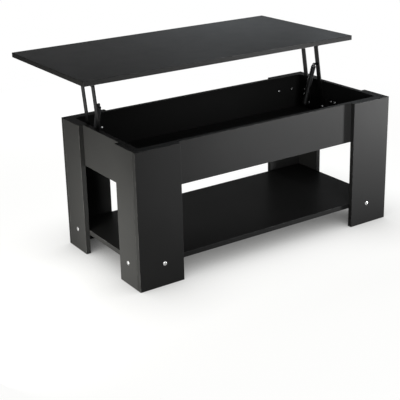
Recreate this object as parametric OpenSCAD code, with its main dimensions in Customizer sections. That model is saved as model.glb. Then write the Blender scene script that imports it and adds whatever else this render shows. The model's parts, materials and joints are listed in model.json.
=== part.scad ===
// Lift top coffee table: four L-shaped board legs, an open storage box, a lower shelf, and a
// tabletop that a pair of spring-assisted parallel-arm mechanisms raises and moves to the back.
// Millimetres. X runs along the table, Y from the front to the back, Z up. The origin is on the
// floor, in the middle of the legs' footprint. The tabletop is drawn raised.

/* [Tabletop] */
// Length of the tabletop
top_l = 980; // [930:5:1100]
// Width of the tabletop
top_w = 480; // [440:5:600]
// Thickness of the tabletop
top_t = 15; // [15:1:25]

/* [Carcass] */
// Length over the legs
base_l = 918; // [840:2:1000]
// Width over the legs
base_w = 430; // [400:2:500]
// Height of the legs and of the storage box
base_h = 405; // [380:1:460]
// Thickness of the legs, aprons and end panels
board_t = 15; // [15:1:20]
// Height of the aprons and end panels
apron_h = 125; // [115:1:150]
// Thickness of the box floor
floor_t = 15; // [15:1:20]
// Width of each leg on the front or back face
leg_face_w = 144; // [110:1:180]
// Width of each leg on the end face
leg_end_w = 110; // [90:1:140]
// Thickness of the lower shelf
shelf_t = 15; // [12:1:20]
// Height of the shelf's underside above the floor
shelf_up = 60; // [40:1:140]
// Bevel along the edges of every board
arris = 0.8; // [0.3:0.1:1.5]

/* [Lift mechanism] */
// Distance between the two pivots of an arm
arm_l = 207; // [190:1:215]
// Width of an arm
arm_w = 18; // [14:1:19]
// Thickness of an arm
arm_t = 3; // [2:0.5:4]
// How far the raised arms lean past upright, in degrees
arm_lean = 10.5; // [4:0.5:14]
// Distance between the front and the rear arm's pivots
pivot_gap = 67; // [62:1:75]
// Distance of the front base pivot behind the middle of the table
front_pivot_y = 49; // [30:1:55]
// Height of the base pivots above the box floor
pivot_up = 27.5; // [24:0.5:32]
// Distance of the lid pivots below the tabletop
pivot_drop = 20; // [18:0.5:24]
// Distance of the arms from the end panel
arm_inset = 12.5; // [11:0.5:16]
// Thickness of the steel of the brackets and rails
plate_t = 2; // [1.5:0.5:3]
// Height of a base bracket
bracket_h = 46; // [44:1:50]
// Length of a lid rail
rail_l = 240; // [200:5:280]
// Width of a lid rail's flange under the tabletop
rail_flange_w = 22; // [20:1:26]
// Depth of a lid rail's web below the tabletop, between its lugs
rail_web_h = 14; // [8:1:18]

/* [Springs] */
// Outer diameter of a spring's coil
spring_d = 16; // [12:0.5:18]
// Diameter of a spring's wire
wire_d = 2; // [1.5:0.1:2.2]
// Distance along the front arm from its base pivot to the spring pin
spring_pin_up = 144; // [130:1:160]
// Distance of the spring pin behind the middle of the front arm
spring_pin_back = 4; // [0:0.5:4]
// Distance of the spring anchor behind the rear base pivot
anchor_back = 11; // [11:1:17]
// Distance of the spring anchor below the base pivots
anchor_down = 10.5; // [10:0.5:12]

/* [Hardware] */
// Shank diameter of a pivot rivet
rivet_d = 6; // [5:0.5:7]
// Head diameter of a pivot rivet
rivet_head_d = 12; // [10:0.5:13]
// Thickness of a pivot washer
washer_t = 0.8; // [0.5:0.1:1.5]
// Diameter of the pins that carry the springs
pin_d = 5; // [4:0.5:5.5]
// Head diameter of a shelf bolt
bolt_head_d = 13; // [10:0.5:16]
// Size of the hexagon key that turns a shelf bolt
bolt_key = 4; // [3:0.5:5]
// Shank diameter of a shelf bolt
bolt_d = 5; // [4:0.5:6]
// Length of a shelf bolt under its head
bolt_l = 50; // [40:1:60]
// Shank diameter of the wood screws
screw_d = 4; // [3:0.5:4.5]
// Head diameter of the wood screws
screw_head_d = 8; // [7:0.5:9]
// Diameter of the wooden dowels
dowel_d = 8; // [6:1:8]
// Length of the wooden dowels
dowel_l = 30; // [25:1:35]
// Diameter of a cam lock
cam_d = 15; // [12:1:18]

/* [Hidden] */
// Clearances
lid_gap = 0.5;       // closed tabletop to the legs
pivot_play = 0.05;   // radial play of an arm on its rivet
open_play = 0.09;    // the same at the rear arm's upper pivot
side_play = 0.1;     // beside each pivot washer
hole_play = 0.1;     // radial play of a fastener in its hole
stop_gap = 0.3;      // raised rear arm to its stop
hole_end = 1;        // extra depth of a blind hole
cut = 1;             // how far a cut runs past the face it starts from
// Carcass, all measured from the middle of the footprint
face_x = base_l / 2;
face_y = base_w / 2;
panel_x = face_x - board_t;          // outer faces of the end panels
panel_y = face_y - board_t;          // outer faces of the aprons
inner_x = panel_x - board_t;         // inside of the storage box
inner_y = panel_y - board_t;
apron_low = base_h - apron_h;
floor_top = apron_low + floor_t;
shelf_mid = shelf_up + shelf_t / 2;
// Positions of the fasteners on the boards
bolt_in_face = 81;                   // from a leg's outer edge on the front or back
bolt_in_end = 63;                    // from a leg's outer edge on the end
screw_drop = 47;                     // leg screws below the top of the box
screw_in = 62;                       // leg screws from a leg's outer edge
screw_step = 56;                     // between the two leg screws of an apron
panel_screw_in = 26;                 // end panels' leg screws from the box's inside corners
leg_screw_l = 25;
dowel_bite = 10;                     // depth of a dowel in the board whose face it enters
corner_dowel_up = 120;               // lower dowel of a leg above the floor
corner_dowel_drop = 100;             // upper dowel of a leg below its top
box_dowel_up = 30;                   // lower dowel of a box corner above the apron's lower edge
box_dowel_drop = 25;                 // upper dowel of a box corner below the top
cam_back = 24;                       // cam lock centre from the long edges of the box floor
cam_in = 129;                        // outer cam locks from its short edges
cam_h = 12;
cam_bolt_d = 6;
cam_bolt_in = 11;                    // depth of a cam bolt in its apron
cam_neck_d = 4;
cam_neck_l = 6;
cam_bolt_head_l = 3;
slot_w = 1.4;                        // cross slot of a cam lock
slot_depth = 1.5;
// Heads of the bolts, screws and rivets
bolt_head_h = 2.4;
bolt_key_depth = 1.6;
screw_head_h = 2.2;
recess_w = 0.8;                      // cross recess of a wood screw
recess_depth = 1;
rivet_head_h = 2;
rivet_tail_h = 1.5;
rivet_tail_d = rivet_head_d - 2.4;
rim_h = 0.7;                         // upright rim under the dome of each head
// Lift mechanism, on the right-hand side; the left-hand side is its mirror image
arm_out_x = inner_x - arm_inset;             // outboard face of the arms
arm_in_x = arm_out_x - arm_t;
plate_x = arm_out_x + washer_t + 2 * side_play;  // inboard face of bracket webs and rails
pivot_z = floor_top + pivot_up;
rear_pivot_y = front_pivot_y + pivot_gap;
lean = [sin(arm_lean), cos(arm_lean)];       // direction up a raised arm, in Y and Z
across = [cos(arm_lean), -sin(arm_lean)];    // square to it, to the back
front_base = [front_pivot_y, pivot_z];
rear_base = [rear_pivot_y, pivot_z];
front_top = front_base + arm_l * lean;
rear_top = rear_base + arm_l * lean;
closed_rise = base_h + lid_gap - pivot_drop - pivot_z;
lid_z = front_top[1] + pivot_drop;           // underside of the raised tabletop
lid_y = front_top[0] - front_pivot_y + sqrt(arm_l * arm_l - closed_rise * closed_rise);
washer_d = 14;
// Base bracket
ear_front = 62;                      // front ear's end ahead of the front pivot
ear_rear = 54;                       // rear ear's end behind the rear pivot
web_front = 12;                      // web's end ahead of the front pivot
web_rear = 26;                       // web's end behind the rear pivot
joggle = 8;                          // length of the slope from web to ear
bracket_below = 16;                  // bracket below the base pivots
bracket_r = 6;
ear_screw_end = 13;                  // outer ear screws from the bracket's ends
ear_screw_step = 19;                 // between the front ear's two upper screws
ear_screw_up = 20.5;                 // upper ear screws above the base pivots
ear_screw_low = -7.5;                // lower ear screws
ear_screw_l = 12;
stop_up = 22;                        // stop's distance up the raised rear arm
stop_d = 6;
stop_neck_d = 4;
stop_place = rear_base + stop_up * lean + (arm_w / 2 + stop_d / 2 + stop_gap) * across;
riveted = 0.8;                       // end of a pin riveted over behind its plate
// Lid rail
rail_front = 26;                     // rail's end ahead of the front lid pivot
rail_tail_h = 6;                     // web depth at the rail's back end
rail_r = 5;
lug_r = arm_w / 2 + 1;               // lug round each lid pivot
lug_slope = 30;                      // slope of a lug's sides from upright, in degrees
rail_screws_n = 4;
rail_screw_end = 14;                 // outer rail screws from the rail's ends
rail_screw_x = plate_x - (rail_flange_w - plate_t) / 2;
rail_screw_l = 13;
// Springs and the pins that carry them
coil_r = (spring_d - wire_d) / 2;
hook_slack = 0.2;
spring_gap = 1;                      // coil to the rivet heads
spring_x = arm_in_x - rivet_head_h - spring_gap - spring_d / 2;
spring_pin = front_base + spring_pin_up * lean + spring_pin_back * across;
anchor = rear_base + [anchor_back, -anchor_down];
spring_run = spring_pin - anchor;
spring_len = norm(spring_run);
spring_tilt = atan2(spring_run[0], spring_run[1]);
hook_off = coil_r - wire_d / 2 - pin_d / 2 - hook_slack;   // hook centre from its pin
collar_d = pin_d + 3;
neck_w = wire_d + 1;
pin_head_t = 1.5;
hook_start = 15;                     // where a hook's ring begins, in degrees
hook_turn = 335;                     // how far it goes round

$fn = 48;

black = [0.16, 0.165, 0.17];
steel_black = [0.09, 0.09, 0.095];
zinc = [0.72, 0.73, 0.74];
beech = [0.80, 0.66, 0.46];
nylon = [0.85, 0.85, 0.82];

// ---- Placing and outlines ----

// Draws its children, and their mirror image at the other end of the table
module both_ends() {
  children();
  mirror([1, 0, 0]) children();
}

// Turns an axis that points up so that it points along +X
module along_x() rotate([0, 90, 0]) children();

// Turns an axis that points up so that it points along +Y
module along_y() rotate([-90, 0, 0]) children();

// Moves to a point given as [y, z], at distance x along the table
module at_yz(p, x) translate([x, p[0], p[1]]) children();

// Extrudes an outline drawn in Y and Z by t along +X, starting at x
module yz_plate(x, t) translate([x, 0, 0]) rotate([90, 0, 90]) linear_extrude(t) children();

// Drills a hole of radius r through a plate that is t thick and square to X; p is [y, z]
module drill(p, x, t, r) at_yz(p, x - cut) along_x() cylinder(h = t + 2 * cut, r = r);

// Points on an arc of radius r about c, from angle a0 to angle a1
function arc(c, r, a0, a1) = let(n = ceil(abs(a1 - a0) / 22.5))
  [for (k = [0:n]) let(a = a0 + k * (a1 - a0) / n) c + r * [cos(a), sin(a)]];

// A quarter turn of radius r about c, starting at angle a
function corner(c, r, a) = arc(c, r, a, a + 90);

// Points of a rectangle with round corners, from its low to its high corner
function round_rect(lo, hi, r) = concat(
  corner([hi[0] - r, hi[1] - r], r, 0), corner([lo[0] + r, hi[1] - r], r, 90),
  corner([lo[0] + r, lo[1] + r], r, 180), corner([hi[0] - r, lo[1] + r], r, 270));

// Lower outline of a lug of radius r about c, with sloped sides that start on the level z
function lug(c, r, slope, z) = let(
    side = (z - c[1] + r * sin(slope)) / cos(slope),
    out = r * cos(slope) + side * sin(slope))
  concat([[c[0] - out, z]], arc(c, r, 180 + slope, 360 - slope), [[c[0] + out, z]]);

// Half profile of a head of radius r and height h, domed down to its upright rim
function dome(r, h) = concat(
  [for (a = [0:18:90]) [r * sin(a), (h - rim_h) * (1 - cos(a))]], [[r, h], [0, h]]);

// Outline of a bevelled rectangle that starts at the origin
module bevelled(w, h, c) {
  polygon([[c, 0], [w - c, 0], [w, c], [w, h - c], [w - c, h], [c, h], [0, h - c], [0, c]]);
}

// A board with every edge bevelled, from its low corner
module board(size, low) {
  translate(low) intersection() {
    linear_extrude(size[2]) bevelled(size[0], size[1], arris);
    translate([0, size[1], 0]) rotate([90, 0, 0])
      linear_extrude(size[1]) bevelled(size[0], size[2], arris);
    rotate([90, 0, 90]) linear_extrude(size[0]) bevelled(size[1], size[2], arris);
  }
}

// ---- Fasteners; each points along +Z into the wood, with its head below zero ----

// Round-headed furniture bolt with a hexagon socket
module bolt() {
  difference() {
    translate([0, 0, -bolt_head_h]) rotate_extrude() polygon(dome(bolt_head_d / 2, bolt_head_h));
    translate([0, 0, -bolt_head_h - cut])
      cylinder(h = bolt_key_depth + cut, d = bolt_key / cos(30), $fn = 6);
  }
  cylinder(h = bolt_l - bolt_d / 2, d = bolt_d);
  translate([0, 0, bolt_l - bolt_d / 2]) cylinder(h = bolt_d / 2, d1 = bolt_d, d2 = bolt_d / 2);
}

// Pan-headed wood screw with a cross recess
module screw(l) {
  tip_d = 0.8;
  difference() {
    translate([0, 0, -screw_head_h]) rotate_extrude() polygon(dome(screw_head_d / 2, screw_head_h));
    translate([0, 0, -screw_head_h - cut])
      cross_bars(screw_head_d / 2, recess_w, recess_depth + cut);
  }
  cylinder(h = l - screw_d, d = screw_d);
  translate([0, 0, l - screw_d]) cylinder(h = screw_d, d1 = screw_d, d2 = tip_d);
}

// Two bars l long and w wide that cross at the origin and rise to h
module cross_bars(l, w, h) {
  for (a = [0, 90]) rotate(a) translate([-l / 2, -w / 2, 0]) cube([l, w, h]);
}

// Hole for a fastener of diameter d that reaches l into the wood
module hole(d, l) {
  translate([0, 0, -cut]) cylinder(h = l + hole_end + cut, d = d + 2 * hole_play);
}

// Wooden dowel with bevelled ends, centred on its length
module dowel() {
  bevel = 1;
  r = dowel_d / 2;
  translate([0, 0, -dowel_l / 2]) rotate_extrude()
    polygon([[0, 0], [r - bevel, 0], [r, bevel], [r, dowel_l - bevel], [r - bevel, dowel_l],
             [0, dowel_l]]);
}

module dowel_hole() {
  cylinder(h = dowel_l + 2 * hole_end, d = dowel_d + 2 * hole_play, center = true);
}

// ---- Where the fasteners go ----

// Shelf bolts of the front and back faces, pointing into the shelf
module at_face_bolts() {
  for (sx = [-1, 1], sy = [-1, 1])
    translate([sx * (face_x - bolt_in_face), sy * face_y, shelf_mid])
      rotate([sy * 90, 0, 0]) children();
}

// Shelf bolts of the two ends
module at_end_bolts() {
  for (sx = [-1, 1], sy = [-1, 1])
    translate([sx * face_x, sy * (face_y - bolt_in_end), shelf_mid])
      rotate([0, -sx * 90, 0]) children();
}

// Screws from inside the box through the aprons into the legs
module at_apron_screws() {
  for (sx = [-1, 1], sy = [-1, 1], k = [0, 1])
    translate([sx * (face_x - screw_in - k * screw_step), sy * inner_y, base_h - screw_drop])
      rotate([-sy * 90, 0, 0]) children();
}

// Screws from inside the box through the end panels into the legs
module at_panel_screws() {
  for (sx = [-1, 1], sy = [-1, 1])
    translate([sx * inner_x, sy * (inner_y - panel_screw_in), base_h - screw_drop])
      rotate([0, sx * 90, 0]) children();
}

// Dowels that join the two boards of each leg
module at_corner_dowels() {
  for (sx = [-1, 1], sy = [-1, 1], z = [corner_dowel_up, base_h - corner_dowel_drop])
    translate([sx * (face_x - board_t / 2), sy * (panel_y - dowel_l / 2 + dowel_bite), z])
      along_y() children();
}

// Dowels that join the end panels to the aprons
module at_box_dowels() {
  for (sx = [-1, 1], sy = [-1, 1], z = [apron_low + box_dowel_up, base_h - box_dowel_drop])
    translate([sx * (panel_x - board_t / 2), sy * (inner_y - dowel_l / 2 + dowel_bite), z])
      along_y() children();
}

// Cam locks in the underside of the box floor
module at_cams() {
  for (k = [-1:1], sy = [-1, 1])
    translate([k * (inner_x - cam_in), sy * (inner_y - cam_back), apron_low])
      rotate(sy * 90) children();
}

// Ear screws of the base brackets; each place is [y, height above the pivots]
ear_screw_y0 = front_pivot_y - ear_front + ear_screw_end;
ear_screw_y1 = rear_pivot_y + ear_rear - ear_screw_end;
ear_screws = [
  [ear_screw_y0, ear_screw_up], [ear_screw_y0 + ear_screw_step, ear_screw_up],
  [ear_screw_y0 + ear_screw_step / 2, ear_screw_low],
  [ear_screw_y1, ear_screw_up], [ear_screw_y1, ear_screw_low]];

module at_ear_screws() {
  for (s = ear_screws)
    translate([inner_x - plate_t, s[0], pivot_z + s[1]]) along_x() children();
}

module at_rail_screws() {
  step = (rail_l - 2 * rail_screw_end) / (rail_screws_n - 1);
  for (k = [0:rail_screws_n - 1])
    translate([rail_screw_x, front_top[0] - rail_front + rail_screw_end + k * step, lid_z - plate_t])
      children();
}

// ---- Boards ----

module tabletop() {
  color(black) difference() {
    board([top_l, top_w, top_t], [-top_l / 2, lid_y - top_w / 2, lid_z]);
    both_ends() at_rail_screws() hole(screw_d, rail_screw_l);
  }
}

// Apron, on the front; the back one is its mirror image
module apron() {
  color(black) difference() {
    board([2 * panel_x, board_t, apron_h], [-panel_x, -panel_y, apron_low]);
    at_apron_screws() hole(screw_d, leg_screw_l);
    at_box_dowels() dowel_hole();
    at_cams() cam_bolt_hole();
  }
}

module end_panel() {
  color(black) difference() {
    board([board_t, 2 * inner_y, apron_h], [inner_x, -inner_y, apron_low]);
    at_panel_screws() hole(screw_d, leg_screw_l);
    at_box_dowels() dowel_hole();
    at_ear_screws() hole(screw_d, ear_screw_l);
  }
}

module box_floor() {
  color(black) difference() {
    board([2 * inner_x, 2 * inner_y, floor_t], [-inner_x, -inner_y, apron_low]);
    at_cams() {
      hole(cam_d, cam_h);
      cam_bolt_hole();
    }
  }
}

module lower_shelf() {
  color(black) difference() {
    board([2 * panel_x, 2 * panel_y, shelf_t], [-panel_x, -panel_y, shelf_up]);
    at_face_bolts() hole(bolt_d, bolt_l);
    at_end_bolts() hole(bolt_d, bolt_l);
  }
}

// Wide board of the front right leg
module leg_face() {
  color(black) difference() {
    board([leg_face_w, board_t, base_h], [face_x - leg_face_w, -face_y, 0]);
    at_face_bolts() hole(bolt_d, bolt_l);
    at_apron_screws() hole(screw_d, leg_screw_l);
    at_corner_dowels() dowel_hole();
  }
}

// Narrow board of the front right leg, behind the wide one
module leg_end() {
  color(black) difference() {
    board([board_t, leg_end_w - board_t, base_h], [panel_x, -panel_y, 0]);
    at_end_bolts() hole(bolt_d, bolt_l);
    at_panel_screws() hole(screw_d, leg_screw_l);
    at_corner_dowels() dowel_hole();
  }
}

// ---- Board fasteners ----

module shelf_bolts() {
  color(zinc) {
    at_face_bolts() bolt();
    at_end_bolts() bolt();
  }
}

module leg_screws() {
  color(zinc) {
    at_apron_screws() screw(leg_screw_l);
    at_panel_screws() screw(leg_screw_l);
  }
}

// The cam's own frame has its centre at the origin and its bolt along +X
module cam_bolt_hole() {
  translate([0, 0, floor_t / 2]) along_x()
    cylinder(h = cam_back + cam_bolt_in + hole_end, d = cam_bolt_d + 2 * hole_play);
}

module cam_lock() {
  difference() {
    cylinder(h = cam_h, d = cam_d);
    translate([0, 0, floor_t / 2]) along_x() cylinder(h = cam_d, d = cam_bolt_d + 1);
    translate([0, 0, -cut]) cross_bars(cam_d * 0.6, slot_w, slot_depth + cut);
  }
}

// Bolt with a head that the cam grips, a neck, and a shank screwed into the apron
module cam_bolt() {
  start = cam_d / 2 - cam_neck_l;
  l = cam_back + cam_bolt_in - start;
  neck = cam_bolt_head_l + cam_neck_l;
  r = cam_bolt_d / 2;
  translate([start, 0, floor_t / 2]) along_x() rotate_extrude()
    polygon([[0, 0], [r, 0], [r, cam_bolt_head_l], [cam_neck_d / 2, cam_bolt_head_l],
             [cam_neck_d / 2, neck], [r, neck], [r, l], [0, l]]);
}

module cam_locks() color(zinc) at_cams() cam_lock();
module cam_bolts() color(zinc) at_cams() cam_bolt();
module corner_dowels() color(beech) at_corner_dowels() dowel();
module box_dowels() color(beech) at_box_dowels() dowel();

// ---- Lift mechanism, right-hand side ----

// Arm between two pivots, with round ends
module arm(base, top, top_play) {
  color(steel_black) difference() {
    translate([arm_in_x, base[0], base[1]]) rotate([-arm_lean, 0, 0]) {
      translate([0, -arm_w / 2, 0]) cube([arm_t, arm_w, arm_l]);
      for (z = [0, arm_l]) translate([0, 0, z]) along_x() cylinder(h = arm_t, d = arm_w);
    }
    drill(base, arm_in_x, arm_t, rivet_d / 2 + pivot_play);
    drill(top, arm_in_x, arm_t, rivet_d / 2 + top_play);
  }
}

module front_arm() {
  difference() {
    arm(front_base, front_top, pivot_play);
    drill(spring_pin, arm_in_x, arm_t, pin_d / 2 + hole_play);
  }
}

module rear_arm() arm(rear_base, rear_top, open_play);

// Pressed steel bracket: a raised web that carries the pivots, and an ear screwed to the
// end panel at each end of it
module base_bracket() {
  ys = [front_pivot_y - ear_front, front_pivot_y - web_front - joggle,
        front_pivot_y - web_front, rear_pivot_y + web_rear,
        rear_pivot_y + web_rear + joggle, rear_pivot_y + ear_rear];
  rise = inner_x - plate_x - plate_t;          // web's back above the end panel
  shift = plate_t * tan(atan2(rise, joggle) / 2);  // keeps the slopes as thick as the web
  under = [[0, ys[0]], [0, ys[1]], [rise, ys[2]], [rise, ys[3]], [0, ys[4]], [0, ys[5]]];
  over = [[plate_t, ys[5]], [plate_t, ys[4] + shift], [rise + plate_t, ys[3] + shift],
          [rise + plate_t, ys[2] - shift], [plate_t, ys[1] - shift], [plate_t, ys[0]]];
  color(steel_black) difference() {
    intersection() {
      translate([inner_x, 0, pivot_z - bracket_below]) linear_extrude(bracket_h)
        mirror([1, 0]) polygon(concat(under, over));
      yz_plate(plate_x - cut, inner_x - plate_x + 2 * cut)
        polygon(round_rect([ys[0], pivot_z - bracket_below],
                           [ys[5], pivot_z - bracket_below + bracket_h], bracket_r));
    }
    for (p = [front_base, rear_base]) drill(p, plate_x, plate_t, rivet_d / 2 + hole_play);
    drill(anchor, plate_x, plate_t, pin_d / 2 + hole_play);
    drill(stop_place, plate_x, plate_t, stop_neck_d / 2 + hole_play);
    at_ear_screws() hole(screw_d, plate_t);
  }
}

// Angle rail under the tabletop: its flange is screwed up, and its web hangs down in a lug
// round each lid pivot and tapers to the back
module lid_rail() {
  y0 = front_top[0] - rail_front;
  y1 = y0 + rail_l;
  x0 = plate_x + plate_t - rail_flange_w;
  low = lid_z - rail_web_h;
  web = concat(
    [[y1, lid_z], [y0, lid_z]], corner([y0 + rail_r, low + rail_r], rail_r, 180),
    lug(front_top, lug_r, lug_slope, low), lug(rear_top, lug_r, lug_slope, low),
    [[rear_top[0] + rail_front, low], [y1, lid_z - rail_tail_h]]);
  flange = concat(
    [[plate_x + plate_t, y0], [plate_x + plate_t, y1]],
    corner([x0 + rail_r, y1 - rail_r], rail_r, 90),
    corner([x0 + rail_r, y0 + rail_r], rail_r, 180));
  color(steel_black) difference() {
    union() {
      yz_plate(plate_x, plate_t) polygon(web);
      translate([0, 0, lid_z - plate_t]) linear_extrude(plate_t) polygon(flange);
    }
    for (p = [front_top, rear_top]) drill(p, plate_x, plate_t, rivet_d / 2 + hole_play);
    at_rail_screws() hole(screw_d, plate_t);
  }
}

// Rivet through an arm, its washer and a plate; domed head inboard, flat head outboard
module rivet() {
  grip = plate_x + plate_t - arm_in_x + side_play;
  translate([arm_in_x - side_play, 0, 0]) along_x() {
    translate([0, 0, -rivet_head_h]) rotate_extrude()
      polygon(dome(rivet_head_d / 2, rivet_head_h));
    cylinder(h = grip, d = rivet_d);
    translate([0, 0, grip]) cylinder(h = rivet_tail_h, d = rivet_tail_d);
  }
}

module washer() {
  translate([arm_out_x + side_play, 0, 0]) along_x() difference() {
    cylinder(h = washer_t, d = washer_d);
    translate([0, 0, -cut]) cylinder(h = washer_t + 2 * cut, r = rivet_d / 2 + hole_play);
  }
}

module at_base_pivots() for (p = [front_base, rear_base]) at_yz(p, 0) children();
module at_lid_pivots() for (p = [front_top, rear_top]) at_yz(p, 0) children();

module base_rivets() color(zinc) both_ends() at_base_pivots() rivet();
module base_washers() color(nylon) both_ends() at_base_pivots() washer();
module lid_rivets() color(zinc) both_ends() at_lid_pivots() rivet();
module lid_washers() color(nylon) both_ends() at_lid_pivots() washer();
module bracket_screws() color(zinc) both_ends() at_ear_screws() screw(ear_screw_l);
module rail_screws() color(zinc) both_ends() at_rail_screws() screw(rail_screw_l);

// Stop that the raised rear arm rests against, a little longer than the arm is thick
module rear_stop() {
  reach = plate_x - arm_in_x + 1;
  at_yz(stop_place, plate_x) along_x() {
    translate([0, 0, -reach]) cylinder(h = reach, d = stop_d);
    cylinder(h = plate_t + riveted, d = stop_neck_d);
  }
}

module rear_stops() color(steel_black) both_ends() rear_stop();

// Grooved pin: a tail through the steel from x1 to x0, a collar, a neck for the spring's hook,
// and a retaining head at its inboard end
module spring_peg(x0, x1) {
  end = spring_x - neck_w / 2 - pin_head_t;
  r = pin_d / 2;
  groove = pin_head_t + neck_w;
  translate([end, 0, 0]) along_x() rotate_extrude()
    polygon([[0, 0], [collar_d / 2, 0], [collar_d / 2, pin_head_t], [r, pin_head_t], [r, groove],
             [collar_d / 2, groove], [collar_d / 2, x0 - end], [r, x0 - end], [r, x1 - end],
             [0, x1 - end]]);
}

module spring_pins() {
  color(zinc) both_ends() at_yz(spring_pin, 0) spring_peg(arm_in_x, arm_out_x);
}

module spring_anchors() {
  color(zinc) both_ends() at_yz(anchor, 0) spring_peg(plate_x, plate_x + plate_t + riveted);
}

// Hook at one end of a spring: a ring of wire about its centre, open beside the coil,
// and a crossover that joins it to the first turn
module spring_hook() {
  rotate([0, 90, 0]) rotate(hook_start) rotate_extrude(angle = hook_turn)
    translate([coil_r, 0]) circle(d = wire_d, $fn = 24);
  translate([0, 0, coil_r]) rotate([-90, 0, 0]) cylinder(h = coil_r, d = wire_d, $fn = 24);
}

// Tension spring between its anchor and the pin on the front arm, as a close stack of turns
module spring() {
  pitch = 0.97 * wire_d;      // the turns press on each other
  first = hook_off + coil_r;
  stack = spring_len - 2 * first;
  turns = floor(stack / pitch);
  color(steel_black) at_yz(anchor, spring_x) rotate([-spring_tilt, 0, 0]) {
    translate([0, 0, hook_off]) spring_hook();
    translate([0, 0, spring_len - hook_off]) rotate([180, 0, 0]) spring_hook();
    rotate_extrude() for (k = [0:turns])
      translate([coil_r, first + k * stack / turns]) circle(d = wire_d, $fn = 24);
  }
}

// ---- Assembly ----

tabletop();
apron();  // front_apron
mirror([0, 1, 0]) apron();  // back_apron
mirror([1, 0, 0]) end_panel();  // left_end_panel
end_panel();  // right_end_panel
box_floor();
lower_shelf();
mirror([1, 0, 0]) leg_face();  // front_left_leg_face
leg_face();  // front_right_leg_face
rotate(180) leg_face();  // back_left_leg_face
mirror([0, 1, 0]) leg_face();  // back_right_leg_face
mirror([1, 0, 0]) leg_end();  // front_left_leg_end
leg_end();  // front_right_leg_end
rotate(180) leg_end();  // back_left_leg_end
mirror([0, 1, 0]) leg_end();  // back_right_leg_end
corner_dowels();
box_dowels();
cam_locks();
cam_bolts();
shelf_bolts();
leg_screws();
mirror([1, 0, 0]) base_bracket();  // left_base_bracket
base_bracket();  // right_base_bracket
bracket_screws();
base_rivets();
base_washers();
rear_stops();
spring_anchors();
mirror([1, 0, 0]) front_arm();  // left_front_arm
front_arm();  // right_front_arm
spring_pins();
mirror([1, 0, 0]) rear_arm();  // left_rear_arm
rear_arm();  // right_rear_arm
mirror([1, 0, 0]) lid_rail();  // left_lid_rail
lid_rail();  // right_lid_rail
rail_screws();
lid_rivets();
lid_washers();
mirror([1, 0, 0]) spring();  // left_spring
spring();  // right_spring
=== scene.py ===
# %% [markdown]
# # A lift top coffee table
# The imported CAD model is the fixed frame of this scene: every board, bracket and rivet already
# stands in its real place, in metres. This lesson lights it, gives every piece its finish, and
# works out the few pieces whose detail is too fine for the CAD model: the helical springs and the
# threaded fasteners. The first step loads the frame.

# %% Load the frame
import json
import math

import bmesh
import bpy
import numpy as np
from mathutils import Matrix, Vector


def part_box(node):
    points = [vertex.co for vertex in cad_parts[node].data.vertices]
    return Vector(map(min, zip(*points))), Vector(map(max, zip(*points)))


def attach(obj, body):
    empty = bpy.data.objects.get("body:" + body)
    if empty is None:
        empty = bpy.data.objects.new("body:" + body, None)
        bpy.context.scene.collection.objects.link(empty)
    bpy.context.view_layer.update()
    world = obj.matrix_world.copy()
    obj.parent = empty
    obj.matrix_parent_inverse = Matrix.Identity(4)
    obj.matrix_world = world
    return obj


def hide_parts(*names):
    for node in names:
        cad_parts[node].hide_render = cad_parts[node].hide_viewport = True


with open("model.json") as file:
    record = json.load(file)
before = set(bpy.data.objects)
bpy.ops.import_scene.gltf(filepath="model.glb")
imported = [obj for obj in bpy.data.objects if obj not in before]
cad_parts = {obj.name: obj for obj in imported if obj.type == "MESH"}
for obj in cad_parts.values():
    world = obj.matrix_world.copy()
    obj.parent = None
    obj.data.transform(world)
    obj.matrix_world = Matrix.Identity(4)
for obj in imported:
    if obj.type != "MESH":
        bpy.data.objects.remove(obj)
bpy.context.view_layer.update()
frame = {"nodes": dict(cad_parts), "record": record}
nodes = frame["nodes"]
scene = bpy.context.scene
MM = 0.001

# %% [markdown]
# A long lens from a good distance keeps the legs nearly upright, as in a catalogue view. The
# camera stands in front of the table and to its left, about 0.6 m above the raised top. Its pose
# is given by where it stands and by three turns: towards the right, down, and a slight roll.

# %% The camera
CAMERA_PLACE = (-1.625, -2.283, 1.188)
CAMERA_TURN, CAMERA_DOWN, CAMERA_ROLL = 33.55, 18.78, -1.34     # degrees
LENS, SENSOR_WIDTH = 85.9, 36.0                                # mm
FRAME_SHIFT = -0.1                                             # share of the picture's width

camera = bpy.data.objects.new("camera", bpy.data.cameras.new("camera"))
scene.collection.objects.link(camera)
scene.camera = camera
camera.data.lens = LENS
camera.data.sensor_width = SENSOR_WIDTH
camera.data.shift_y = FRAME_SHIFT
camera.matrix_world = (
    Matrix.Translation(CAMERA_PLACE)
    @ Matrix.Rotation(math.radians(-CAMERA_TURN), 4, "Z")
    @ Matrix.Rotation(math.radians(90.0 - CAMERA_DOWN), 4, "X")
    @ Matrix.Rotation(math.radians(CAMERA_ROLL), 4, "Z"))
print("camera", round(Vector(CAMERA_PLACE).length, 2), "m from the middle of the footprint")

# %% [markdown]
# Every material below is a small tree of shader nodes. It could be drawn in the node editor, but
# written out it can be read and repeated. These helpers add a node, feed its sockets, and give the
# point on the object that every pattern starts from.

# %% Nodes and places
def feed(tree, socket, value):
    """Links the socket to value where that is another node's socket, else sets it to value."""
    if isinstance(value, bpy.types.NodeSocket):
        tree.links.new(value, socket)
    else:
        socket.default_value = value


def add_node(tree, kind, settings=None, **inputs):
    """A shader node with these settings; an input given as a socket is linked, else it is set."""
    made = tree.nodes.new(kind)
    for key, value in (settings or {}).items():
        setattr(made, key, value)
    for key, value in inputs.items():
        feed(tree, made.inputs[key.replace("_", " ")], value)
    return made


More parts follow.
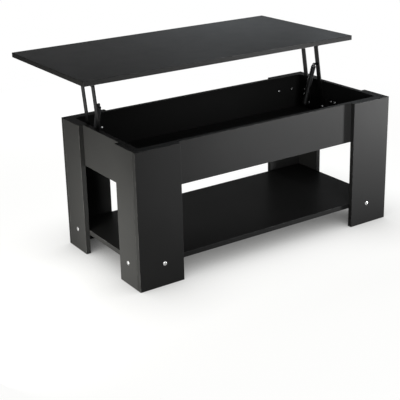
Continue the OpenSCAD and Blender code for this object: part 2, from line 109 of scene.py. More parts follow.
def object_place(tree, centre=(0, 0, 0), stretch=(1, 1, 1)):
    """The point on the object, measured from centre and then stretched along X, Y and Z."""
    point = add_node(tree, "ShaderNodeTexCoord").outputs["Object"]
    for operation, value in (("SUBTRACT", centre), ("MULTIPLY", stretch)):
        step = add_node(tree, "ShaderNodeVectorMath", {"operation": operation})
        feed(tree, step.inputs[0], point)
        feed(tree, step.inputs[1], value)
        point = step.outputs[0]
    return point


print("helpers: feed, add_node, object_place")

# %% [markdown]
# A finish is hardly ever one even colour. Noise gives clouds, flecks and ripples, and these helpers
# spread its 0 to 1 over a range, do sums with it, mix two colours by it, and raise a relief from
# it.

# %% Textures, sums and colours
def noise(tree, scale, detail=3.0, vector=None):
    """Soft noise from 0 to 1 with about scale lumps to a metre."""
    vector = vector or add_node(tree, "ShaderNodeTexCoord").outputs["Object"]
    node = add_node(tree, "ShaderNodeTexNoise", Vector=vector, Scale=scale, Detail=detail)
    return node.outputs[0]


def spread(tree, value, low, high, start=0.0, end=1.0):
    """value's span from start to end becomes low to high, and stays there outside it."""
    node = add_node(tree, "ShaderNodeMapRange", {"clamp": True})
    for socket, number in zip(node.inputs, (value, start, end, low, high)):
        feed(tree, socket, number)
    return node.outputs[0]


def maths(tree, operation, a, b):
    """One arithmetic step on two sockets or numbers."""
    node = add_node(tree, "ShaderNodeMath", {"operation": operation})
    feed(tree, node.inputs[0], a)
    feed(tree, node.inputs[1], b)
    return node.outputs[0]


def tint(tree, share, first, second):
    """The colour first where share is 0, second where it is 1."""
    node = add_node(tree, "ShaderNodeMix", {"data_type": "RGBA"}, Factor=share)
    colours = [s for s in node.inputs if s.type == "RGBA"]
    for socket, value in zip(colours, (first, second)):
        feed(tree, socket, value if isinstance(value, bpy.types.NodeSocket) else (*value, 1.0))
    return next(s for s in node.outputs if s.type == "RGBA")


def bump(tree, height, distance, normal=None):
    """A relief distance metres high from a texture of 0 to 1, on top of another relief."""
    node = add_node(tree, "ShaderNodeBump", Height=height, Distance=distance, Strength=1.0)
    if normal:
        feed(tree, node.inputs["Normal"], normal)
    return node.outputs[0]


print("helpers: noise, spread, maths, tint, bump")

# %% [markdown]
# All finishes use the Principled shader, which covers painted, plastic, wooden and metal surfaces.
# What is even over a piece is set on the shader itself; what varies is linked to a texture.

# %% Materials
def finish(name, metallic=0.0, specular=0.5):
    """A new material: its tree and its Principled shader, with the two even values set."""
    material = bpy.data.materials.new(name)
    material.use_nodes = True
    tree = material.node_tree
    shader = next(n for n in tree.nodes if n.type == "BSDF_PRINCIPLED")
    shader.inputs["Metallic"].default_value = metallic
    shader.inputs["Specular IOR Level"].default_value = specular
    return material, tree, shader


def connect(tree, shader, **sockets):
    """Links each named input of the shader to its texture."""
    for key, value in sockets.items():
        tree.links.new(value, shader.inputs[key.replace("_", " ")])


def dress(node_name, material):
    """Gives a CAD node this material and no other."""
    nodes[node_name].data.materials.clear()
    nodes[node_name].data.materials.append(material)


print("helpers: finish, connect, dress")

# %% [markdown]
# The studio is a wide pale floor under a pale sky. What the camera, a mirror or a glass sees of
# the sky is plain white; what lights the table is a much softer grey, so that black boards keep
# their depth. The Light Path node tells the two apart.

# %% The sky
WHITE = (1.0, 1.0, 1.0, 1.0)
SKY_LIGHT = 0.015                      # level of the sky as a light; what is seen of it is 1


def seen_directly(tree):
    """1 for what the camera, a mirror or a glass sees, 0 for what only gives light."""
    rays = add_node(tree, "ShaderNodeLightPath").outputs
    either = maths(tree, "MAXIMUM", rays["Is Camera Ray"], rays["Is Glossy Ray"])
    return maths(tree, "MAXIMUM", either, rays["Is Transmission Ray"])


def studio_sky():
    """A world that is plain white to the eye and a soft grey as a light."""
    world = bpy.data.worlds.new("studio")
    world.use_nodes = True
    tree = world.node_tree
    tree.nodes.clear()
    level = spread(tree, seen_directly(tree), SKY_LIGHT, 1.0)
    sky = add_node(tree, "ShaderNodeBackground", Color=WHITE, Strength=level)
    add_node(tree, "ShaderNodeOutputWorld", Surface=sky.outputs[0])
    return world


scene.world = studio_sky()
print("sky: seen at 1, lights at", SKY_LIGHT)

# %% [markdown]
# The floor could be one matt white sheet, but the low lamps would make pools of light on it. So
# most of what is seen of it is an even pale light that the Ambient Occlusion node dims where the
# table stands near, which is the table's soft shadow, and a small part is lit by the lamps. Away
# from the table it fades into plain white, as a studio's paper does where it curves up, so that no
# horizon shows. As a bouncer of light it stays a matt grey.

# %% Look of the floor
FLOOR_PAINT = (0.15, 0.15, 0.15)       # what the floor throws back on the table
FLOOR_LAMP_TONE = (0.16, 0.16, 0.157)  # the lamps' part of what is seen
FLOOR_EVEN_LIGHT = 0.96                # the even part of it, where nothing stands near
FLOOR_EVEN_TINT = (1.0, 1.0, 0.99, 1.0)
SHADOW_POWER = 0.72                    # below 1 keeps the shadow soft
SHADOW_REACH = 0.24                    # metres over which the table dims the even part
SHADOW_SAMPLES = 16
FADE_START, FADE_END = 0.75, 2.1       # metres from the middle of the table


def mix_shaders(tree, share, first, second):
    """The shader first where share is 0, second where it is 1."""
    blend = add_node(tree, "ShaderNodeMixShader")
    for socket, source in zip(blend.inputs, (share, first, second)):
        feed(tree, socket, source)
    return blend.outputs[0]


def studio_floor():
    """Matt grey as a bouncer of light; to the eye an even pale light that the table's nearness
    dims, plus the lamps' own light and shadows; plain white light further out."""
    material = bpy.data.materials.new("studio_floor")
    material.use_nodes = True
    tree = material.node_tree
    tree.nodes.clear()
    paint = add_node(tree, "ShaderNodeBsdfDiffuse", Color=(*FLOOR_PAINT, 1.0)).outputs[0]
    lit = add_node(tree, "ShaderNodeBsdfDiffuse", Color=(*FLOOR_LAMP_TONE, 1.0)).outputs[0]
    openness = add_node(tree, "ShaderNodeAmbientOcclusion", {"samples": SHADOW_SAMPLES},
                        Distance=SHADOW_REACH).outputs["AO"]
    openness = maths(tree, "POWER", openness, SHADOW_POWER)
    even = add_node(tree, "ShaderNodeEmission", Color=FLOOR_EVEN_TINT,
                    Strength=spread(tree, openness, 0.0, FLOOR_EVEN_LIGHT)).outputs[0]
    near = add_node(tree, "ShaderNodeAddShader")
    feed(tree, near.inputs[0], lit)
    feed(tree, near.inputs[1], even)
    white = add_node(tree, "ShaderNodeEmission", Color=WHITE, Strength=1.0)
    reach = add_node(tree, "ShaderNodeVectorMath", {"operation": "LENGTH"})
    feed(tree, reach.inputs[0], add_node(tree, "ShaderNodeTexCoord").outputs["Object"])
    far = spread(tree, reach.outputs["Value"], 0.0, 1.0, FADE_START, FADE_END)
    seen = mix_shaders(tree, far, near.outputs[0], white.outputs[0])
    surface = mix_shaders(tree, seen_directly(tree), paint, seen)
    add_node(tree, "ShaderNodeOutputMaterial", Surface=surface)
    return material


print("floor paint", FLOOR_PAINT[0], "and a soft shadow", SHADOW_REACH, "m wide")

# %% [markdown]
# The floor itself is one square that reaches far past every view. It is staging and no part of the
# table.

# %% The floor
FLOOR_SIZE = 40.0                      # metres

corners = np.array([(-1, -1, 0), (1, -1, 0), (1, 1, 0), (-1, 1, 0)]) * FLOOR_SIZE / 2
floor_mesh = bpy.data.meshes.new("studio_floor")
floor_mesh.from_pydata(corners.tolist(), [], [(0, 1, 2, 3)])
floor_mesh.materials.append(studio_floor())
floor = bpy.data.objects.new("studio_floor", floor_mesh)
scene.collection.objects.link(floor)
print("floor", FLOOR_SIZE, "m wide")

# %% [markdown]
# Soft square lamps do the rest. Two warm ones stand low beside the left end. Three stand in front
# and close to the floor, with their middles below the shelf's level, so that they brighten the
# legs and the apron, most of all on the right, and leave the shelf dark. A weak one looks over the
# apron into the box. Two cool ones hang above the right half of the tabletop, and one behind opens
# up the back.

# %% Lamps
WARM, COOL, PLAIN = (1.0, 0.99, 0.93), (0.84, 0.93, 1.0), (1.0, 1.0, 1.0)
LAMPS = {
    # name: place, what it points at, side in metres, beam in degrees, watts, colour
    "end_lamp": ((-0.85, -0.05, 0.03), (-0.46, -0.05, 0.15), 0.3, 180, 5.6, WARM),
    "corner_lamp": ((-1.0, -0.25, 0.03), (-0.46, -0.1, 0.05), 0.4, 180, 4.0, WARM),
    "front_lamp": ((1.5, -0.8, 0.04), (0.35, -0.2, 0.45), 0.16, 50, 6.9, PLAIN),
    "low_lamp": ((-0.2, -1.6, 0.04), (0.0, -0.2, 0.3), 0.16, 180, 4.7, PLAIN),
    "rising_lamp": ((-0.2, -1.2, 0.04), (0.0, -0.2, 0.55), 0.3, 60, 0.98, PLAIN),
    "near_lamp": ((0.1, -0.7, 0.6), (0.1, -0.2, 0.4), 0.3, 90, 0.33, PLAIN),
    "top_lamp": ((0.4, 0.7, 1.2), (0.3, 0.24, 0.56), 0.3, 100, 2.0, COOL),
    "side_lamp": ((1.0, 0.6, 0.9), (0.4, 0.25, 0.56), 0.3, 120, 0.32, COOL),
    "back_lamp": ((0.3, 2.1, 0.2), (0.0, 0.2, 0.2), 0.38, 180, 18.0, PLAIN),
}


def soft_lamp(name, place, aim, side, beam, watts, colour):
    """A square area lamp at place that points at aim; a grid on it may narrow its beam."""
    light = bpy.data.lights.new(name, "AREA")
    light.size = side
    light.spread = math.radians(beam)
    light.energy = watts
    light.color = colour
    lamp = bpy.data.objects.new(name, light)
    scene.collection.objects.link(lamp)
    lamp.location = place
    lamp.rotation_euler = (Vector(aim) - Vector(place)).to_track_quat("-Z", "Y").to_euler()
    lamp.visible_camera = False


for lamp_name, values in LAMPS.items():
    soft_lamp(lamp_name, *values)
print(len(LAMPS), "lamps")

# %% [markdown]
# The boards are chipboard with a matt black melamine face and a thin plastic band on their edges.
# The face is almost even: a faint cloud in its colour, a fine pearl in its surface, and a hairline
# seam where the band meets it. The bands are a shade darker, which is painted shade, and the arris
# is lighter, partly as wear from handling and partly as a painted highlight.

# %% Colours and widths of the boards
BOARD_DARK, BOARD_LIGHT = (0.0388, 0.0390, 0.0390), (0.0420, 0.0422, 0.0422)
# the arris colour: partly wear from handling, partly a painted highlight
ARRIS_WEAR_AND_HIGHLIGHT = (0.125, 0.126, 0.126)
BOARD_SPECULAR = 0.0042                # plastic has 0.5; kept low, as all it mirrors here is white
BOARD_ROUGHNESS = (0.34, 0.38)
BAND_PAINTED_SHADE = 0.80                      # painted shade: the edge bands' colour is darkened as if they took less light than the faces
BAND_T = 1.1 * MM
BAND_START = (0.8 * MM, BAND_T)        # from the broad face: where the band's painted shade sets in
ARRIS_FADE = (0.4 * MM, 1.4 * MM)      # from the edge: where the wear and painted highlight fade out
SEAM = (0.022, 0.022, 0.022)
SEAM_RISE = (BAND_T - 0.15 * MM, BAND_T)               # from the edge: where the seam sets in
SEAM_FALL = (BAND_T + 0.1 * MM, BAND_T + 0.25 * MM)    # and where it ends
SEAM_DEPTH, PEARL_DEPTH = 0.05 * MM, 0.03 * MM
print("edge bands", round(BAND_T / MM, 2), "mm thick")

# %% [markdown]
# The seams, and the arris's wear and painted highlight, follow the edges, so each board's shader
# has to know how far its nearest edge is. That comes from the board's own box: on each axis the
# distance to the nearer face is half the size less the distance from the middle, and on the surface
# the middle one of the three distances is how far the nearest edge lies.

# %% Distances on a board
def edge_distances(tree, node_name):
    """On a board's surface, the distance to its nearest edge, and to its nearer broad face."""
    low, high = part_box(node_name)
    point = object_place(tree, (low + high) / 2)
    from_middle = add_node(tree, "ShaderNodeVectorMath", {"operation": "ABSOLUTE"})
    feed(tree, from_middle.inputs[0], point)
    to_face = add_node(tree, "ShaderNodeVectorMath", {"operation": "SUBTRACT"})
    feed(tree, to_face.inputs[0], (high - low) / 2)
    feed(tree, to_face.inputs[1], from_middle.outputs[0])
    x, y, z = add_node(tree, "ShaderNodeSeparateXYZ", Vector=to_face.outputs[0]).outputs
    thin = int(np.argmin(high - low))
    smaller = maths(tree, "MINIMUM", x, y)
    larger = maths(tree, "MAXIMUM", x, y)
    nearest = maths(tree, "MAXIMUM", smaller, maths(tree, "MINIMUM", larger, z))
    return nearest, (x, y, z)[thin]


def shade(tree, colour, share):
    """The colour with all three channels times share."""
    node = add_node(tree, "ShaderNodeVectorMath", {"operation": "SCALE"}, Scale=share)
    feed(tree, node.inputs[0], colour)
    return node.outputs[0]


print("helpers: edge_distances, shade")

# %% [markdown]
# One finish could serve all boards, but the distances need each board's own box, so every board
# gets a material of its own from the same recipe.

# %% Board finish
def board_finish(node_name):
    """Matt black melamine for one board: band seams, painted band shade, and an arris lighter from
    wear and a painted highlight.
    """
    material, tree, shader = finish("board_" + node_name, specular=BOARD_SPECULAR)
    clouds = noise(tree, scale=5.0, detail=4.0)
    pearl = noise(tree, scale=1400.0, detail=2.0)
    colour = tint(tree, spread(tree, clouds, 0.0, 1.0, start=0.35, end=0.65),
                  BOARD_DARK, BOARD_LIGHT)
    edge, face = edge_distances(tree, node_name)
    # painted shade: the edge bands' colour is darkened, standing for the less light they take
    colour = shade(tree, colour, spread(tree, face, 1.0, BAND_PAINTED_SHADE, *BAND_START))
    patches = spread(tree, noise(tree, scale=60.0, detail=5.0), 0.15, 0.9, start=0.42, end=0.68)
    # the arris is lighter: partly wear from handling, partly a painted highlight
    wear_and_highlight = maths(tree, "MULTIPLY", spread(tree, edge, 1.0, 0.0, *ARRIS_FADE), patches)
    colour = tint(tree, wear_and_highlight, colour, ARRIS_WEAR_AND_HIGHLIGHT)
    seam = maths(tree, "MULTIPLY", spread(tree, edge, 0.0, 1.0, *SEAM_RISE),
                 spread(tree, edge, 1.0, 0.0, *SEAM_FALL))
    colour = tint(tree, seam, colour, SEAM)
    smudges = spread(tree, noise(tree, scale=22.0, detail=6.0), *BOARD_ROUGHNESS,
                     start=0.3, end=0.7)
    relief = bump(tree, spread(tree, pearl, 0.0, 1.0, start=0.3, end=0.7), PEARL_DEPTH)
    relief = bump(tree, spread(tree, seam, 1.0, 0.0), SEAM_DEPTH, relief)
    connect(tree, shader, Base_Color=colour, Roughness=smudges, Normal=relief)
    return material


BOARDS = [row["node"] for row in frame["record"]["subparts"] if row["material_slot"] == "board"]
for name in BOARDS:
    dress(name, board_finish(name))
print(len(BOARDS), "boards:", ", ".join(BOARDS))

# %% [markdown]
# The mechanism is pressed steel under a thin black powder coat, which dries with the fine ripple
# of an orange's skin. The rivets and screws are zinc plated, a little cloudy, and the bolts in the
# legs are a duller nickel. The pins and stops are turned steel, blackened.

# %% Coated, plated and blackened steel
COAT_DARK, COAT_LIGHT = (0.006, 0.006, 0.0062), (0.011, 0.011, 0.0115)
PIN_DARK, PIN_LIGHT = (0.030, 0.030, 0.032), (0.065, 0.066, 0.069)
ZINC_DULL, ZINC_BRIGHT = (0.56, 0.565, 0.575), (0.76, 0.765, 0.77)
NICKEL_DULL, NICKEL_BRIGHT = (0.34, 0.345, 0.35), (0.50, 0.50, 0.495)


def powder_coat():
    """Black powder coat on steel."""
    material, tree, shader = finish("black_powder_coat", specular=0.12)
    ripple = noise(tree, scale=700.0, detail=2.0)
    dust = noise(tree, scale=90.0, detail=6.0)
    colour = tint(tree, spread(tree, dust, 0.0, 1.0, start=0.4, end=0.75), COAT_DARK, COAT_LIGHT)
    connect(tree, shader, Base_Color=colour, Normal=bump(tree, ripple, 0.05 * MM),
            Roughness=spread(tree, dust, low=0.34, high=0.50, start=0.35, end=0.7))
    return material


def plated(name, dull, bright, smooth, rough):
    """Plated steel, cloudy between dull and bright, with fine marks from the tumbling drum."""
    material, tree, shader = finish(name, metallic=1.0)
    clouds = noise(tree, scale=260.0, detail=4.0)
    marks = noise(tree, scale=2600.0, detail=3.0)
    connect(tree, shader, Base_Color=tint(tree, clouds, dull, bright),
            Normal=bump(tree, marks, 0.015 * MM),
            Roughness=spread(tree, clouds, smooth, rough, start=0.3, end=0.7))
    return material


def blackened_pin():
    """Turned steel, blackened and oiled: dark metal with rings round its axis, which is X."""
    material, tree, shader = finish("blackened_pin", metallic=0.9)
    rings = noise(tree, scale=3000.0, detail=2.0,
                  vector=object_place(tree, stretch=(1.0, 0.02, 0.02)))
    clouds = noise(tree, scale=300.0, detail=4.0)
    connect(tree, shader, Base_Color=tint(tree, clouds, PIN_DARK, PIN_LIGHT),
            Normal=bump(tree, rings, 0.02 * MM),
            Roughness=spread(tree, clouds, low=0.30, high=0.45, start=0.3, end=0.7))
    return material


BLACK_COAT, BLACK_PIN = powder_coat(), blackened_pin()
ZINC = plated("zinc_plate", ZINC_DULL, ZINC_BRIGHT, smooth=0.14, rough=0.28)
NICKEL = plated("satin_nickel", NICKEL_DULL, NICKEL_BRIGHT, smooth=0.20, rough=0.36)
print("made", ", ".join(m.name for m in (BLACK_COAT, BLACK_PIN, ZINC, NICKEL)))

# %% [markdown]
# The springs' wire is phosphated black and keeps faint streaks of its drawing, which follow the
# wire, so they are laid out on its UV map. Dowels and washers hide in the joints and are still
# finished: beech with its grain along the dowel, and milky nylon.

# %% Wire, beech and nylon
WIRE_DARK, WIRE_LIGHT = (0.028, 0.028, 0.029), (0.075, 0.076, 0.079)
BEECH_DARK, BEECH_LIGHT, BEECH_FLECK = (0.50, 0.31, 0.16), (0.66, 0.45, 0.25), (0.33, 0.18, 0.09)
NYLON_DARK, NYLON_LIGHT = (0.68, 0.67, 0.63), (0.78, 0.77, 0.74)


def phosphated_wire():
    """Black phosphated spring wire, with the faint streaks that drawing leaves along it."""
    material, tree, shader = finish("phosphated_wire", metallic=0.75)
    uv = add_node(tree, "ShaderNodeTexCoord").outputs["UV"]
    lengthwise = add_node(tree, "ShaderNodeMapping", Vector=uv, Scale=(1.5, 40.0, 1.0)).outputs[0]
    streaks = noise(tree, scale=1.0, detail=3.0, vector=lengthwise)
    clouds = noise(tree, scale=120.0, detail=4.0)
    connect(tree, shader, Base_Color=tint(tree, clouds, WIRE_DARK, WIRE_LIGHT),
            Normal=bump(tree, streaks, 0.02 * MM),
            Roughness=spread(tree, clouds, low=0.28, high=0.45, start=0.3, end=0.7))
    return material


def beech():
    """Plain beech: rings round an axis along Y, short dark flecks, grain along Y."""
    material, tree, shader = finish("beech", specular=0.3)
    along = object_place(tree, stretch=(1.0, 0.06, 1.0))
    rings = noise(tree, scale=520.0, detail=3.0, vector=along)
    flecks = noise(tree, scale=2400.0, detail=2.0, vector=along)
    colour = tint(tree, spread(tree, rings, 0.0, 1.0, start=0.35, end=0.65),
                  BEECH_DARK, BEECH_LIGHT)
    colour = tint(tree, spread(tree, flecks, 0.0, 0.6, start=0.6, end=0.75), colour, BEECH_FLECK)
    connect(tree, shader, Base_Color=colour, Normal=bump(tree, flecks, 0.04 * MM),
            Roughness=spread(tree, rings, low=0.5, high=0.7))
    return material


def nylon():
    """Natural nylon: milky, with a soft moulded skin."""
    material, tree, shader = finish("nylon", specular=0.4)
    skin = noise(tree, scale=900.0, detail=3.0)
    connect(tree, shader, Base_Color=tint(tree, skin, NYLON_DARK, NYLON_LIGHT),
            Normal=bump(tree, skin, 0.02 * MM), Roughness=spread(tree, skin, low=0.35, high=0.5))
    return material


WIRE, BEECH, NYLON = phosphated_wire(), beech(), nylon()
print("made", ", ".join(m.name for m in (WIRE, BEECH, NYLON)))

# %% [markdown]
# The record says what each CAD node is made of, so most nodes take their finish by that name. The
# pins, anchors and stops are the exception: they stand among the coated parts, but are blackened.

# %% Dress the small parts
FINISHES = {"black_steel": BLACK_COAT, "zinc": ZINC, "beech": BEECH, "nylon": NYLON,
            "spring_steel": WIRE}
BLACKENED = ("spring_pins", "spring_anchors", "rear_stops")

for row in frame["record"]["subparts"]:
    if row["material_slot"] in FINISHES:
        dress(row["node"], FINISHES[row["material_slot"]])
for name in BLACKENED:
    dress(name, BLACK_PIN)
print("finishes by name:", ", ".join(FINISHES), "and", len(BLACKENED), "blackened nodes")

# %% [markdown]
# A surface worked out on a grid is the one kind of mesh that the new pieces need: rows along the
# piece, columns round it. A row whose points all meet, such as the middle of a screw's head, is
# welded into one point, so the surface closes there.

# %% Grids into meshes
WELD = 1e-6                             # metres; points nearer than this are one point
NO_AREA = 1e-7                          # metres; edges shorter than this span no face


def grid_object(name, grids, material):
    """One object from closed grids of points, each shaped (rows, columns, 3) and wound round its
    columns. UVs run round the columns and along the rows."""
    points, faces, uvs, start = [], [], [], 0
    for grid in grids:
        rows, columns = grid.shape[:2]
        index = start + np.arange(rows * columns).reshape(rows, columns)
        across = np.roll(index, -1, axis=1)
        quads = np.stack([index[:-1], across[:-1], across[1:], index[1:]], axis=-1)
        faces.append(quads.reshape(-1, 4))
        u = np.arange(columns) / columns
        v = np.arange(rows) / (rows - 1)
        u0, v0 = np.meshgrid(u, v[:-1])
        u1, v1 = u0 + 1 / columns, v0 + 1 / (rows - 1)
        uvs.append(np.stack([u0, v0, u1, v0, u1, v1, u0, v1], axis=-1).reshape(-1, 2))
        points.append(grid.reshape(-1, 3))
        start += rows * columns
    points, faces, uvs = np.concatenate(points), np.concatenate(faces), np.concatenate(uvs)
    mesh = bpy.data.meshes.new(name)
    mesh.from_pydata(points.tolist(), [], faces.tolist())
    mesh.uv_layers.new(name="UVMap").data.foreach_set("uv", uvs.ravel().astype(np.float32))
    mesh.materials.append(material)
    mesh.polygons.foreach_set("use_smooth", np.full(len(faces), True))
    piece = bpy.data.objects.new(name, mesh)
    scene.collection.objects.link(piece)
    work = bmesh.new()
    work.from_mesh(mesh)
    bmesh.ops.remove_doubles(work, verts=work.verts, dist=WELD)
    bmesh.ops.dissolve_degenerate(work, edges=work.edges, dist=NO_AREA)
    bmesh.ops.recalc_face_normals(work, faces=work.faces)
    work.to_mesh(mesh)
    work.free()
    return piece


def smooth_step(x):
    """0 up to x = 0, 1 from x = 1, and a smooth rise 3x^2 - 2x^3 between."""
    x = np.clip(x, 0.0, 1.0)
    return x * x * (3.0 - 2.0 * x)


print("helpers: grid_object, smooth_step")

# %% [markdown]
# Each spring is one wire: a close helix, and at both ends a loop in the plane that stands square
# to the pin. The wire's centre line is worked out first, as an array of points, and a circle is
# then carried along it. Where the helix turns into the loop, a short cubic curve joins them with
# no kink.

# %% A wire along a path
WIRE_SIDES = 10                         # points round the wire


def unit(vectors):
    """Vectors scaled to length one along their last axis."""
    return vectors / np.linalg.norm(vectors, axis=-1, keepdims=True)


def sweep(path, across, radius, sides=WIRE_SIDES):
    """A round wire: at each point of path a circle of that radius, square to the path. across is
    any direction there that isn't along the path; the circle's first axis is across made square."""
    tangent = unit(np.gradient(path, axis=0))
    first = unit(across - tangent * np.sum(across * tangent, axis=1, keepdims=True))
    second = np.cross(tangent, first)
    turn = np.arange(sides) * 2 * np.pi / sides
    ring = (first[:, None] * np.cos(turn)[None, :, None]
            + second[:, None] * np.sin(turn)[None, :, None])
    body = path[:, None] + radius * ring
    cap = np.repeat(path[:, None], sides, axis=1)
    return np.concatenate([cap[:1], body, cap[-1:]])


def hermite(p0, t0, p1, t1, n):
    """n points on the cubic from p0 with velocity t0 to p1 with velocity t1."""
    s = np.linspace(0, 1, n)[:, None]
    return ((2 * s**3 - 3 * s**2 + 1) * p0 + (s**3 - 2 * s**2 + s) * t0
            + (3 * s**2 - 2 * s**3) * p1 + (s**3 - s**2) * t1)


print("helpers: unit, sweep, hermite")

# %% [markdown]
# The two halves of a spring are alike, so only one is worked out: from the middle of the coil to
# the end of its hook. The other is the same half turned over about the X axis.

# %% Centre line of half a spring
WIRE_D = 2.0 * MM
PIN_D = 5.0 * MM
COIL_PITCH = 2.25 * MM
HOOK_R = 4.8 * MM                       # radius of the end loops to the wire's middle
HOOK_SWEEP = 235.0                      # degrees that the loop goes round
COIL_POINTS, HOOK_POINTS, JOIN_POINTS = 24, 36, 14      # a turn's, the loop's and the join's
JOIN_PULL = 2.2                         # how far the join keeps its directions, in coil radii


def half_spring(length, coil_r):
    """Centre line from the middle of the coil to the end of one hook. The coil's axis is Z and the
    pin, parallel to X, is at height length / 2. The helix is (R cos t, R sin t, p t / 2 pi); the
    hook is a smaller loop in the plane X = 0 that hangs on the pin's far side. The helix has a
    quarter turn over a whole number, so it ends at +Y, where the loop starts."""
    hook_mid = length / 2 - (HOOK_R - WIRE_D / 2 - PIN_D / 2)
    coil_top = hook_mid - HOOK_R - WIRE_D
    turns = np.round(coil_top / COIL_PITCH - 0.25) + 0.25
    pitch = coil_top / turns
    t = np.linspace(0, 2 * np.pi * turns, int(turns * COIL_POINTS))
    helix = np.stack([coil_r * np.cos(t), coil_r * np.sin(t), pitch * t / (2 * np.pi)], axis=1)
    a = np.radians(np.linspace(0, HOOK_SWEEP, HOOK_POINTS))
    loop = np.stack([np.zeros_like(a), HOOK_R * np.cos(a), hook_mid + HOOK_R * np.sin(a)], axis=1)
    speed = coil_r * JOIN_PULL
    join = hermite(helix[-1], np.array([-speed, 0, 0]), loop[0], np.array([0, 0, speed]),
                   JOIN_POINTS)
    path = np.concatenate([helix, join[1:-1], loop])
    share = np.concatenate([np.zeros(len(helix)), smooth_step(np.linspace(0, 1, JOIN_POINTS - 2)),
                            np.ones(len(loop))])[:, None]
    across = (1 - share) * np.array([0, 0, 1.0]) + share * np.array([1.0, 0, 0])
    return path, across


print("hook radius", HOOK_R / MM, "mm, wire", WIRE_D / MM, "mm")

# %% [markdown]
# The spring's place is taken from the CAD model: it hangs between the middle of the anchors and the
# middle of the pins, and the width of the CAD spring gives its coil. It is rigid and rides on the
# springs' body, so it keeps its drawn length when the table closes.

# %% The two springs
def make_spring(node_name):
    """The spring between the anchor and the pin at that node's end of the table."""
    low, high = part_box(node_name)
    coil_r = (high.x - low.x) / 2 - WIRE_D / 2
    x = (low.x + high.x) / 2
    ends = [(a + b) / 2 for a, b in (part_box("spring_anchors"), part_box("spring_pins"))]
    lower, upper = (np.array([x, e.y, e.z]) for e in ends)
    axis = unit(upper - lower)
    path, across = half_spring(np.linalg.norm(upper - lower), coil_r)
    flip = np.array([1, -1, -1])
    path = np.concatenate([path[:0:-1] * flip, path])
    across = np.concatenate([across[:0:-1] * flip, across])
    turn = np.stack([np.array([1.0, 0, 0]), np.cross(axis, [1.0, 0, 0]), axis])
    path, across = path @ turn + (lower + upper) / 2, across @ turn
    spring = grid_object(node_name.replace("spring", "coil_spring"),
                         [sweep(path, across, WIRE_D / 2)], WIRE)
    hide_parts(node_name)
    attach(spring, "springs")
    return spring


for node_name in ("left_spring", "right_spring"):
    spring = make_spring(node_name)
    print(spring.name, len(spring.data.polygons), "faces")

# %% [markdown]
# The bolts and screws are the brightest things on the table, so they get real heads. Each is one
# surface that starts in the middle of the key's recess, climbs out of it, runs over the dome and
# under the head, and winds down the shank as a thread to the tip. They could be modelled once and
# placed by hand, but the CAD model already knows where they stand: its solids are told apart by
# their shared corners, and each one's box and widest points say where its head is.

# %% Where the fasteners stand
HEAD_SHARE = 0.97                       # points past this share of the widest are the head's rim
SAME_POINT = 6                          # decimals of a metre that tell two points apart


def separate_solids(node_name):
    """The points of each separate solid of a CAD node. Every point starts with its own number;
    the corners of each triangle take the lowest of theirs until nothing changes any more."""
    mesh = nodes[node_name].data
    points = np.empty(len(mesh.vertices) * 3)
    mesh.vertices.foreach_get("co", points)
    triangles = np.empty(len(mesh.polygons) * 3, dtype=np.int32)
    mesh.polygons.foreach_get("vertices", triangles)
    rounded = np.round(points.reshape(-1, 3), SAME_POINT)
    spots, place = np.unique(rounded, axis=0, return_inverse=True)
    corners = place.reshape(-1)[triangles].reshape(-1, 3)
    number = np.arange(len(spots))
    while True:
        lowest = number[corners].min(axis=1)
        renewed = number.copy()
        np.minimum.at(renewed, corners, lowest[:, None])
        renewed = renewed[renewed]
        if (renewed == number).all():
            return [spots[number == one] for one in np.unique(number)]
        number = renewed


def fastener_place(points):
    """The middle of the head's top, the direction of driving, the length and the head's radius.
    The length is the box's longest side, and the head is the end where the widest points are."""
    low, high = points.min(axis=0), points.max(axis=0)
    middle, axis = (low + high) / 2, np.argmax(high - low)
    radius = np.linalg.norm(np.delete(points - middle, axis, axis=1), axis=1)
    head_at = points[radius > HEAD_SHARE * radius.max(), axis].mean()
    inward = np.zeros(3)
    inward[axis] = np.sign(middle[axis] - head_at)
    length = high[axis] - low[axis]
    return middle - inward * length / 2, inward, length, radius.max()


places = {name: [fastener_place(points) for points in separate_solids(name)]
          for name in ("shelf_bolts", "leg_screws", "bracket_screws", "rail_screws")}
print({name: len(found) for name, found in places.items()})

# %% [markdown]
# The leg bolts are driven by a hexagon key and the screws by a cross-headed driver. Each recess is
# an outline: how far its wall is from the middle, for every direction.

# %% Shapes of the key recesses
CROSS_COLUMNS = 32                      # points round a cross-recessed screw
HEX_COLUMNS = 48                        # points round a socket bolt
ARM_SLOPE = math.tan(2 * math.pi / CROSS_COLUMNS)    # half width of a cross's arm to its length
TINY = 1e-9                             # keeps a division off zero


def hexagon(angle, across):
    """Outline of a hexagon: half its width, over the cosine of the angle from a flat's middle."""
    return across / 2 / np.cos((angle + np.pi / 6) % (np.pi / 3) - np.pi / 6)


def cross(angle, across):
    """Outline of a cross: the nearer of an arm's end and its side, for the nearest arm."""
    off_arm = (angle + np.pi / 4) % (np.pi / 2) - np.pi / 4
    side = ARM_SLOPE / np.maximum(np.abs(np.sin(off_arm)), TINY)
    return across / 2 * np.minimum(1 / np.cos(off_arm), side)


print("half widths of recesses 4 mm across:",
      [round(float(outline(np.zeros(1), 4.0)[0]), 2) for outline in (hexagon, cross)], "mm")

# %% [markdown]
# One function covers all bolts and screws: its rows run from the middle of the recess over the
# dome, under the head and down the thread. The thread is no separate helix, but a wave in the
# radius that moves round as it goes down, which keeps the skin one closed surface.

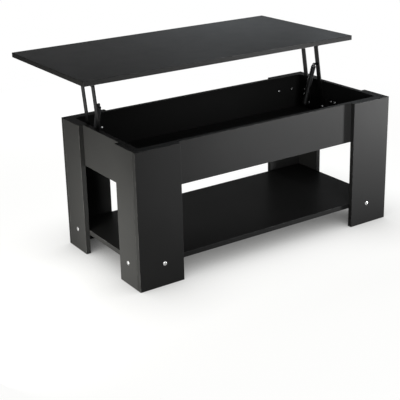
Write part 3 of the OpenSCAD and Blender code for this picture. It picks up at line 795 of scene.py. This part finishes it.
# %% The skin of a fastener
HEAD_RIM = 0.7 * MM                     # upright rim under the dome
EDGE = 0.12 * MM                        # rounding of the head's edges
RECESS_FLOOR = 0.62                     # a row on the recess's floor, as a share of its outline
DOME_ROWS, DOME_START = 10, 0.05        # rows over the dome, and where the first one stands
ROWS_A_TURN = 8                         # rows of points to one pitch of the thread
CORE = 0.70                             # core of the thread, as a share of its outer radius
TOOTH_CREST, TOOTH_FLANK = 1.25, 0.26   # a tooth is crest - distance / flank, cut to 0 and 1
FASTENERS = {
    # outline, its width, points round, head's height, recess's depth, shank, pitch, plain, tip;
    # the lengths are in mm
    "socket_bolt": (hexagon, 4.0, HEX_COLUMNS, 2.4, 1.6, 5.0, 2.5, 10.0, 2.5),
    "cross_screw": (cross, 4.0, CROSS_COLUMNS, 2.2, 1.1, 4.0, 1.8, 0.6, 4.0),
}


def fastener_surface(kind, length, head_r):
    """The whole skin of one fastener, head's top at the origin and tip towards +Z.
    Dome: depth = (head height - rim) (1 - sqrt(1 - (r / R)^2)).
    Thread: r = core + (outer - core) ridge, where ridge is a blunt tooth that peaks wherever
    depth / pitch - angle / 2 pi is a whole number and a half. The core starts at the outer radius
    and shrinks over the first turn. The tip narrows with sqrt((length - depth) / tip)."""
    outline, across, columns = FASTENERS[kind][:3]
    head_h, key_h, shank_d, pitch, plain, tip = (v * MM for v in FASTENERS[kind][3:])
    angle = np.arange(columns) * 2 * np.pi / columns
    key_r = outline(angle, across * MM)
    dome_h = head_h - HEAD_RIM

    def crown(r):
        return dome_h * (1 - np.sqrt(np.clip(1 - (r / head_r) ** 2, 0, 1)))

    share = np.sin(np.linspace(DOME_START, 1.0, DOME_ROWS) * np.pi / 2)[:, None]
    dome_r = key_r + (head_r - key_r) * share
    even = np.ones_like(angle)
    head = [(0 * even, key_h * even), (RECESS_FLOOR * key_r, key_h * even),
            (key_r, crown(key_r) + EDGE)]
    head += list(zip(dome_r, crown(dome_r)))
    head += [(head_r * even, (head_h - EDGE) * even), ((head_r - EDGE) * even, head_h * even),
             (shank_d / 2 * even, head_h * even), (shank_d / 2 * even, (head_h + plain) * even)]
    head_rows_r, head_rows_z = np.array(head).transpose(1, 0, 2)

    depth = np.arange(head_h + plain, length, pitch / ROWS_A_TURN)[1:, None]
    turn = (depth / pitch - angle / (2 * np.pi)) % 1.0
    ridge = np.clip(TOOTH_CREST - np.abs(turn - 0.5) / TOOTH_FLANK, 0.0, 1.0)
    start = smooth_step((depth - head_h - plain) / pitch)
    core = CORE + (1 - CORE) * (1 - start)
    taper = np.sqrt(np.clip((length - depth) / tip, 0.0, 1.0))
    shank_r = shank_d / 2 * (core + (1 - core) * ridge) * taper
    r = np.concatenate([head_rows_r, shank_r, 0 * even[None]])
    z = np.concatenate([head_rows_z, depth * even, length * even[None]])
    return np.stack([r * np.cos(angle), r * np.sin(angle), z], axis=-1)


print(len(FASTENERS), "kinds:", ", ".join(FASTENERS))

# %% [markdown]
# No two screws are left at the same turn of the key, so each gets its own, drawn from a seeded
# generator that gives the same draws on every run. Fasteners of one CAD node stay one piece and
# ride on the body that they are screwed into.

# %% Bolts and screws
KEY_TURNS_SEED = 11
SHARP_ANGLE = 38.0                      # degrees; steeper edges than this are shown sharp


def make_fasteners(node_name, new_name, kind, body, metal, rng):
    """All the fasteners of one CAD node as one piece; each was left at its own turn of the key."""
    grids = []
    for top, inward, length, head_r in places[node_name]:
        skin = fastener_surface(kind, length, head_r)
        first = np.roll(inward, 1)
        second = np.cross(inward, first)
        a = rng.uniform(0, 2 * np.pi)
        turned = np.stack([math.cos(a) * first + math.sin(a) * second,
                           math.cos(a) * second - math.sin(a) * first, inward])
        grids.append(skin @ turned + top)
    piece = grid_object(new_name, grids, metal)
    piece.data.set_sharp_from_angle(angle=math.radians(SHARP_ANGLE))
    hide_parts(node_name)
    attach(piece, body)
    print(piece.name, len(grids), "pieces,", len(piece.data.polygons), "faces")


rng = np.random.default_rng(KEY_TURNS_SEED)
make_fasteners("shelf_bolts", "socket_bolts", "socket_bolt", "base", NICKEL, rng)
make_fasteners("leg_screws", "box_screws", "cross_screw", "base", ZINC, rng)
make_fasteners("bracket_screws", "ear_screws", "cross_screw", "base", ZINC, rng)
make_fasteners("rail_screws", "lid_screws", "cross_screw", "lid", ZINC, rng)

# %% [markdown]
# The picture is shown with Blender's Standard view transform.

# %% The view transform
view = scene.view_settings
view.view_transform = "Standard"
